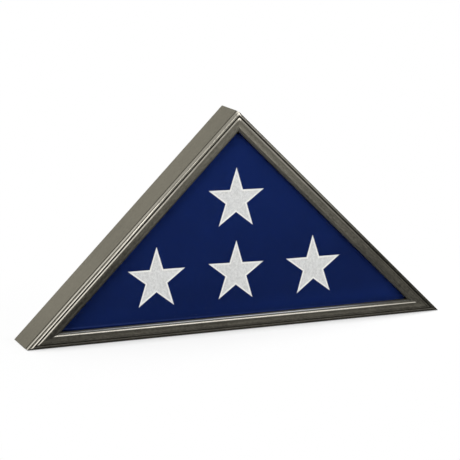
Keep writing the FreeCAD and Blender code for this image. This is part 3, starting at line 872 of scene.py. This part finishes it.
class FLAGCASE_OT_flag(bpy.types.Operator):
    """Fold the flag: a four-ply strip rolled into a triangle, alternately front and back"""

    bl_idname = "flagcase.flag"
    bl_label = "Folded flag"

    def execute(self, context):
        sizes = context.scene.flag_case_sizes
        thickness = FLAG_HIGH.y - FLAG_LOW.y
        total = sizes.layers * sizes.plies
        pitch = thickness / total
        shown = (0, sizes.plies)
        outer_rolls = (sizes.base_roll, sizes.side_roll)
        parts = []
        plies = []
        for number in range(total):
            layer, ply = divmod(number, sizes.plies)
            buried = layer // 2 * sizes.plies + ply
            depth = buried * pitch
            front = layer % 2 == 0
            plies.append(Ply(
                face=FLAG_LOW.y + depth if front else FLAG_HIGH.y - depth,
                towards=1 if front else -1,
                inset=FLAG_LOW.z + buried * PLY_INSET,
                rolls=[max(roll - buried * ROLL_STEP, LEAST_ROLL) for roll in outer_rolls],
            ))
            dip = sizes.billow * (1.0 - depth / thickness)
            parts.append(folded_ply(plies[-1], SHOWN_PLY if number in shown else BURIED_PLY, dip))
        for number in range(total - sizes.plies):
            near, far = sorted((plies[number], plies[number + sizes.plies]), key=lambda ply: ply.face)
            if far.face - near.face > 2 * max(near.rolls):
                base_fold = number // sizes.plies % 2 == 0
                parts.append(wrap_round(near, far, 0 if base_fold else 2))
        piece = new_piece("flag_cloth", *stack_meshes(parts))
        piece.data.materials.append(bunting_finish(context.scene.flag_case_colours.blue))
        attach(piece, "case")
        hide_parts("folded_flag")
        return {"FINISHED"}


# Stars

STAR_RADIUS = 47 * MM
STAR_CORNERS = 10
STAR_TURN = 2 * math.pi / STAR_CORNERS
STAR_EDGE_STEPS = 36
STITCH_RINGS, MIDDLE_RINGS = 9, 9

# Height of a star's cloth as a share of its solid's, its stitch's extra lift, its edge's sink
CLOTH_SHARE = 0.45
STITCH_LIFT, EDGE_SINK = 0.1 * MM, 0.25 * MM

# How each star was sewn on: its stretch, its turn in degrees, its slant and its shift
Lie = namedtuple("Lie", "stretch turn slant shift")
STAR_LIES = {
    "top": Lie(np.array([0.951, 1.003]), -1.23, -0.001, np.array([1.04, 0.44]) * MM),
    "left": Lie(np.array([0.965, 1.021]), -0.89, 0.006, np.array([-0.2, 0.37]) * MM),
    "middle": Lie(np.array([0.953, 1.009]), -1.19, -0.007, np.array([0.06, 1.0]) * MM),
    "right": Lie(np.array([0.952, 1.011]), 0.86, -0.02, np.array([0.08, -0.26]) * MM),
}


def star_line(lie):
    """Points round a five-pointed star at equal steps along each of its ten edges.

    The star is stretched, turned, and then slanted: each point rises by its X times slant.
    """
    number = np.arange(STAR_CORNERS + 1)
    angle = math.pi / 2 + STAR_TURN * number
    notch = STAR_RADIUS * math.cos(2 * STAR_TURN) / math.cos(STAR_TURN)
    reach = np.where(number % 2, notch, STAR_RADIUS)
    corners = np.stack([reach * np.cos(angle), reach * np.sin(angle)], 1)
    share = np.linspace(0.0, 1.0, STAR_EDGE_STEPS, endpoint=False)[None, :, None]
    line = (corners[:-1, None] * (1 - share) + corners[1:, None] * share).reshape(-1, 2) * lie.stretch
    turn = math.radians(lie.turn)
    line = line @ np.array([[math.cos(turn), math.sin(turn)], [-math.sin(turn), math.cos(turn)]])
    return line + np.outer(line[:, 0], [0.0, lie.slant])


def sewn_star(name, centre, line, sizes):
    """A star whose height over the cloth is a function of the way in from its edge.

    It rises over a half ellipse, the satin stitch, and then lies level. All rings are the
    same star drawn smaller, so the border is equally wide all round.
    """
    apothem = STAR_RADIUS * math.cos(2 * STAR_TURN)
    border = sizes.stitch_width
    stitch = np.linspace(0.0, border, STITCH_RINGS)
    middle = np.linspace(border, apothem, MIDDLE_RINGS)[1:-1]
    inset = np.concatenate([[0.0], stitch, middle])
    arch = np.sqrt(np.clip(1.0 - ((inset - border / 2) / (border / 2)) ** 2, 0.0, None))
    level = (STARS_HIGH.y - STARS_LOW.y) * CLOTH_SHARE + (sizes.stitch_height + STITCH_LIFT) * arch
    level[0] = -EDGE_SINK
    flat = centre + (1.0 - inset / apothem)[:, None, None] * line
    cloth = FLAG_LOW.y + billows(flat[..., 0], flat[..., 1], sizes.billow)
    grid = grid_points(flat, cloth - level[:, None])
    pole = [[centre[0], FLAG_LOW.y + billows(*centre, sizes.billow) - level[-1], centre[1]]]
    rings, columns = len(inset), len(line)
    quads, ring_of, column_of = ring_faces(rings, columns)
    fan = cap_faces((rings - 1) * columns, columns, len(grid))
    step = np.linalg.norm(line[1] - line[0])
    column = np.arange(columns)
    tip = np.stack([column, column + 1, column + 0.5], -1) * step
    tip_inset = np.broadcast_to(np.array([inset[-1], inset[-1], apothem]), tip.shape)
    corners = np.concatenate([
        np.stack([column_of * step, inset[ring_of]], -1).reshape(-1, 2),
        np.stack([tip, tip_inset], -1).reshape(-1, 2),
    ])
    return new_piece(name, np.concatenate([grid, pole]), quads, fan, corners)


class FLAGCASE_OT_stars(bpy.types.Operator):
    """Sew the stars on the front of the flag"""

    bl_idname = "flagcase.stars"
    bl_label = "Stars"

    def execute(self, context):
        sizes = context.scene.flag_case_sizes
        colours = context.scene.flag_case_colours
        finish = star_finish(colours.star, colours.stitch, sizes.stitch_width)
        middle = (STARS_LOW.x + STARS_HIGH.x) / 2
        pitch = (STARS_HIGH.x - STARS_LOW.x) / 2 - STAR_RADIUS * math.sin(2 * STAR_TURN)
        row = STARS_LOW.z + STAR_RADIUS * math.cos(STAR_TURN)
        places = {
            "top": (middle, STARS_HIGH.z - STAR_RADIUS),
            "left": (middle - pitch, row),
            "middle": (middle, row),
            "right": (middle + pitch, row),
        }
        for name, centre in places.items():
            lie = STAR_LIES[name]
            piece = sewn_star(f"star_{name}", np.array(centre) + lie.shift, star_line(lie), sizes)
            piece.data.materials.append(finish)
            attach(piece, "case")
        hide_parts("flag_stars")
        return {"FINISHED"}


# Liner and back

FELT_COLUMNS, FELT_RINGS, FELT_EDGE_RINGS = 300, 40, 7
FELT_TRIM = 0.1 * MM
FELT_CORNER_ROUND = 0.6 * MM
NAP_DEPTH = 0.03 * MM
NAP_ACROSS, NAP_UPWARD, NAP_SHIFT = 410, 530, 0.7


def felt_sheet():
    """A closed sheet: rings that shrink to the middle on the front and on the back.

    Its cut edge is a half round. The nap sinks the front by the size of the product of
    two sine waves, one across and one upward.
    """
    outline, _, middle, radius = triangle_outline(FELT_LOW.z + FELT_TRIM, FELT_CORNER_ROUND, FELT_COLUMNS)
    half = (FELT_HIGH.y - FELT_LOW.y) / 2
    turn = np.linspace(0.0, math.pi, FELT_EDGE_RINGS)
    inward = np.linspace(half, radius, FELT_RINGS)[1:-1]
    side = np.full(len(inward), half)
    inset = np.concatenate([inward[::-1], half * (1 - np.sin(turn)), inward])
    level = np.concatenate([-side, -half * np.cos(turn), side])
    flat = middle + (1.0 - inset / radius)[:, None, None] * (outline - middle)
    nap = np.sin(NAP_ACROSS * flat[..., 0]) * np.sin(NAP_UPWARD * flat[..., 1] + NAP_SHIFT) * NAP_DEPTH
    on_front = ((level < 0) & (inset > 2 * half))[:, None]
    grid = grid_points(flat, (FELT_LOW.y + FELT_HIGH.y) / 2 + level[:, None] + np.abs(nap) * on_front)
    poles = np.array([[middle[0], FELT_LOW.y, middle[1]], [middle[0], FELT_HIGH.y, middle[1]]])
    quads, _, _ = ring_faces(len(inset), FELT_COLUMNS)
    fans = np.concatenate([
        cap_faces(0, FELT_COLUMNS, len(grid)),
        cap_faces((len(inset) - 1) * FELT_COLUMNS, FELT_COLUMNS, len(grid) + 1, flip=True),
    ])
    return new_piece("lining_felt", np.concatenate([grid, poles]), quads[:, ::-1], fans)


class FLAGCASE_OT_back(bpy.types.Operator):
    """Stain the liner strips, face the back board and glue its felt"""

    bl_idname = "flagcase.back"
    bl_label = "Liner and back"

    def execute(self, context):
        colours = context.scene.flag_case_colours
        turns = {"bottom_liner": 0.0, "left_liner": LEFT_TURN, "right_liner": RIGHT_TURN}
        for node, turn in turns.items():
            give(node, stained_wood_finish(f"stain_{node}", colours.stain, turn))
        give("back_panel", board_finish(colours.board))
        piece = felt_sheet()
        piece.data.materials.append(felt_finish(colours.felt))
        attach(piece, "back")
        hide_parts("panel_lining")
        return {"FINISHED"}


# Hardware

SCREW_COLUMNS, CROWN_RINGS = 96, 34
SCREW_HEAD, SCREW_NECK = 3.0 * MM, 1.45 * MM
CROWN_RISE, HEAD_RIM, NECK_LENGTH = 1.25 * MM, 0.6 * MM, 3.0 * MM
CROWN_POWER, CROWN_RING_POWER = 2.6, 0.9
RECESS_SIDE, RECESS_END = 0.18 * MM, 0.25 * MM
FIRST_SCREW_TURN, SCREW_TURN_STEP = 0.5, 0.9

# Shares of the head's radius: its underside, the smallest ring of its crown, its recess
UNDERSIDE, SMALLEST_RING, RECESS_REACH = 0.97, 0.03, 0.62
# Shares of the rim's height and of the recess's depth
RIM_CORNER, RECESS_SHALLOWING = 0.85, 0.35


def recessed_screw(place, top, turn, sizes):
    """A pan head on a neck, as rings about the screw's axis.

    Its crown is a flat dome, drop = rise * (r/R)^2.6. The recess is a cross: within half
    an arm's width of either of its two lines, and within its reach, the crown drops by the
    recess's depth, less so towards the rim, with a short slope at its sides.
    """
    angle = np.linspace(0.0, 2 * math.pi, SCREW_COLUMNS, endpoint=False)
    crown = SCREW_HEAD * np.linspace(1.0, SMALLEST_RING, CROWN_RINGS) ** CROWN_RING_POWER
    under = CROWN_RISE + HEAD_RIM
    shoulder = [SCREW_NECK, SCREW_NECK, SCREW_HEAD * UNDERSIDE, SCREW_HEAD]
    shoulder_drop = [under + NECK_LENGTH, under, under, CROWN_RISE + HEAD_RIM * RIM_CORNER]
    radius = np.concatenate([shoulder, crown])[:, None]
    drop = np.concatenate([shoulder_drop, CROWN_RISE * (crown / SCREW_HEAD) ** CROWN_POWER])
    across, upward = radius * np.cos(angle), radius * np.sin(angle)
    first = np.abs(across * math.cos(turn) + upward * math.sin(turn))
    second = np.abs(upward * math.cos(turn) - across * math.sin(turn))
    within_arm = sizes.recess_width / 2 - np.minimum(first, second)
    inside = np.clip(within_arm / RECESS_SIDE + 0.5, 0.0, 1.0)
    inside *= np.clip((RECESS_REACH * SCREW_HEAD - radius) / RECESS_END, 0.0, 1.0)
    recess = sizes.recess_depth * inside * (1.0 - RECESS_SHALLOWING * radius / SCREW_HEAD)
    y = top - drop[:, None] - recess
    grid = grid_points(np.stack([place[0] + across, place[2] + upward], -1), y)
    pole = [[place[0], top - sizes.recess_depth, place[2]]]
    quads, _, _ = ring_faces(len(radius), SCREW_COLUMNS)
    fan = cap_faces((len(radius) - 1) * SCREW_COLUMNS, SCREW_COLUMNS, len(grid), flip=True)
    return np.concatenate([grid, pole]), quads[:, ::-1], fan


class FLAGCASE_OT_hardware(bpy.types.Operator):
    """Plate the hardware and make its screws with their cross recesses"""

    bl_idname = "flagcase.hardware"
    bl_label = "Hardware"

    def execute(self, context):
        sizes = context.scene.flag_case_sizes
        finish = zinc_finish(context.scene.flag_case_colours.zinc)
        hinges = [joint for joint in frame["joints"] if joint["type"] == "hinge"]
        small = ["corner_wedge_nails", "liner_brads", "sawtooth_hanger", "hanger_pins"]
        buttons = [node for node in NODES if node.startswith("turn_button_")]
        buttons.remove("turn_button_screws")
        for node in small + buttons:
            give(node, finish)
        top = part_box("turn_button_screws")[1].y
        screws = []
        for number, joint in enumerate(hinges):
            turn = FIRST_SCREW_TURN + SCREW_TURN_STEP * number
            screws.append(recessed_screw(joint["pos_m"], top, turn, sizes))
        piece = new_piece("button_screws", *stack_meshes(screws))
        piece.data.materials.append(finish)
        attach(piece, "case")
        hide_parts("turn_button_screws")
        return {"FINISHED"}


# Stage

# The camera looks from the left and a little above, from far off with a long lens
CAMERA_TURN, CAMERA_LIFT, CAMERA_ROLL = (math.radians(angle) for angle in (-20.64, 11.35, -0.39))
CAMERA_TARGET = Vector((-0.0157, FRONT, 0.14935))
CAMERA_DISTANCE = 2.9244
PICTURE_PIXELS, FOCAL_PIXELS = 460, 2035
SENSOR_WIDTH = 36.0

Lamp = namedtuple("Lamp", "name place target size power")
LAMPS = (
    Lamp("key_light", (-1.6, -2.0, 2.0), (0.0, 0.0, 0.12), (1.5, 1.5), 57.0),
    Lamp("top_light", (0.75, 0.35, 2.0), (0.0, 0.0, 0.1), (0.9, 1.8), 34.0),
    Lamp("front_light", (1.15, -2.6, 0.5), (0.0, 0.0, 0.2), (1.6, 1.6), 20.0),
    Lamp("back_light", (-0.7, 2.8, 1.25), (0.0, 0.0, 0.15), (1.2, 1.2), 5.0),
)
WORLD_LIGHT = 0.24

FLOOR_HALF, FLOOR_DROP = 9.0, 0.4 * MM
FLOOR_GREY = (0.85, 0.85, 0.85)
# Reach of the floor's own shade from the case, and its share where the two meet
CLOSE_SHADE = (0.03, 0.35)
WIDE_SHADE = (0.45, 0.2)


class FLAGCASE_OT_stage(bpy.types.Operator):
    """Set the floor, the soft lights and the camera"""

    bl_idname = "flagcase.stage"
    bl_label = "Stage"

    def execute(self, context):
        self.camera(context.scene)
        self.world(context.scene)
        self.floor()
        for lamp in LAMPS:
            self.light(context.scene, lamp)
        context.scene.view_settings.view_transform = "Standard"
        return {"FINISHED"}

    def camera(self, scene):
        level = math.cos(CAMERA_LIFT)
        back = Vector((
            math.sin(CAMERA_TURN) * level,
            -math.cos(CAMERA_TURN) * level,
            math.sin(CAMERA_LIFT),
        ))
        right = (-back).cross(Vector((0, 0, 1))).normalized()
        up = right.cross(-back)
        tilted_right = right * math.cos(CAMERA_ROLL) + up * math.sin(CAMERA_ROLL)
        tilted_up = up * math.cos(CAMERA_ROLL) - right * math.sin(CAMERA_ROLL)
        data = bpy.data.cameras.new("camera")
        data.sensor_width = SENSOR_WIDTH
        data.lens = SENSOR_WIDTH * FOCAL_PIXELS / PICTURE_PIXELS
        data.clip_end = 50.0
        camera = bpy.data.objects.new("camera", data)
        scene.collection.objects.link(camera)
        facing = Matrix((tilted_right, tilted_up, back)).transposed().to_4x4()
        camera.matrix_world = Matrix.Translation(CAMERA_TARGET + back * CAMERA_DISTANCE) @ facing
        scene.camera = camera

    def world(self, scene):
        """White where it is seen or mirrored, and a soft even light elsewhere."""
        finish = Finish(bpy.data.worlds.new("studio"))
        strength = finish.shown_rays().ramp(0.0, 1.0, WORLD_LIGHT, 1.0)
        shader = finish.node("ShaderNodeBackground", inputs={"Color": WHITE, "Strength": strength})
        scene.world = finish.surface(shader, "ShaderNodeOutputWorld")

    def floor(self):
        """A pale sheet that keeps the shadow near the case and goes to white away from it."""
        signs = np.array([[-1, -1], [1, -1], [1, 1], [-1, 1]])
        points = np.concatenate([signs * FLOOR_HALF, np.full((4, 1), -FLOOR_DROP)], 1)
        floor = new_piece("floor", points, np.array([[0, 1, 2, 3]]))
        finish = new_finish("pale_floor")
        x, y, _ = finish.parts(finish.position())
        across = (abs(x) - HALF_WIDTH).most(0.0)
        away = (abs(y) - BACK).most(0.0)
        distance = (across * across + away * away).root()
        shades = [distance.ramp(0.0, reach, share, 0.0) for reach, share in (CLOSE_SHADE, WIDE_SHADE)]
        whitened = finish.shown_rays() * (1 - (shades[0] + shades[1]))
        sheet = finish.node("ShaderNodeBsdfDiffuse", inputs={"Color": colour(FLOOR_GREY)})
        white = finish.node("ShaderNodeEmission", inputs={"Color": WHITE, "Strength": 1.0})
        shader = finish.node("ShaderNodeMixShader", inputs={0: whitened, 1: sheet, 2: white})
        floor.data.materials.append(finish.surface(shader))

    def light(self, scene, lamp):
        data = bpy.data.lights.new(lamp.name, "AREA")
        data.shape = "RECTANGLE"
        data.size, data.size_y = lamp.size
        data.energy = lamp.power
        made = bpy.data.objects.new(lamp.name, data)
        made.location = lamp.place
        made.visible_camera = False
        aim = Vector(lamp.target) - Vector(lamp.place)
        made.rotation_euler = aim.to_track_quat("-Z", "Y").to_euler()
        scene.collection.objects.link(made)


class FLAGCASE_PT_sidebar(bpy.types.Panel):
    """Pieces, sizes and colours of the flag case"""

    bl_label = "Flag case"
    bl_space_type = "VIEW_3D"
    bl_region_type = "UI"
    bl_category = "Flag case"

    def draw(self, context):
        for operator in OPERATORS:
            self.layout.operator(operator.bl_idname)
        for group in (context.scene.flag_case_sizes, context.scene.flag_case_colours):
            for name in group.bl_rna.properties.keys():
                if name not in ("rna_type", "name"):
                    self.layout.prop(group, name)


OPERATORS = (
    FLAGCASE_OT_stage,
    FLAGCASE_OT_mouldings,
    FLAGCASE_OT_glass,
    FLAGCASE_OT_flag,
    FLAGCASE_OT_stars,
    FLAGCASE_OT_back,
    FLAGCASE_OT_hardware,
)
CLASSES = (FlagCaseSizes, FlagCaseColours) + OPERATORS + (FLAGCASE_PT_sidebar,)


def register():
    for item in CLASSES:
        bpy.utils.register_class(item)
    bpy.types.Scene.flag_case_sizes = PointerProperty(type=FlagCaseSizes)
    bpy.types.Scene.flag_case_colours = PointerProperty(type=FlagCaseColours)


def unregister():
    del bpy.types.Scene.flag_case_colours
    del bpy.types.Scene.flag_case_sizes
    for item in reversed(CLASSES):
        bpy.utils.unregister_class(item)


def main():
    register()
    bpy.ops.flagcase.stage()
    bpy.ops.flagcase.mouldings()
    bpy.ops.flagcase.glass()
    bpy.ops.flagcase.flag()
    bpy.ops.flagcase.stars()
    bpy.ops.flagcase.back()
    bpy.ops.flagcase.hardware()


if __name__ == "__main__":
    main()
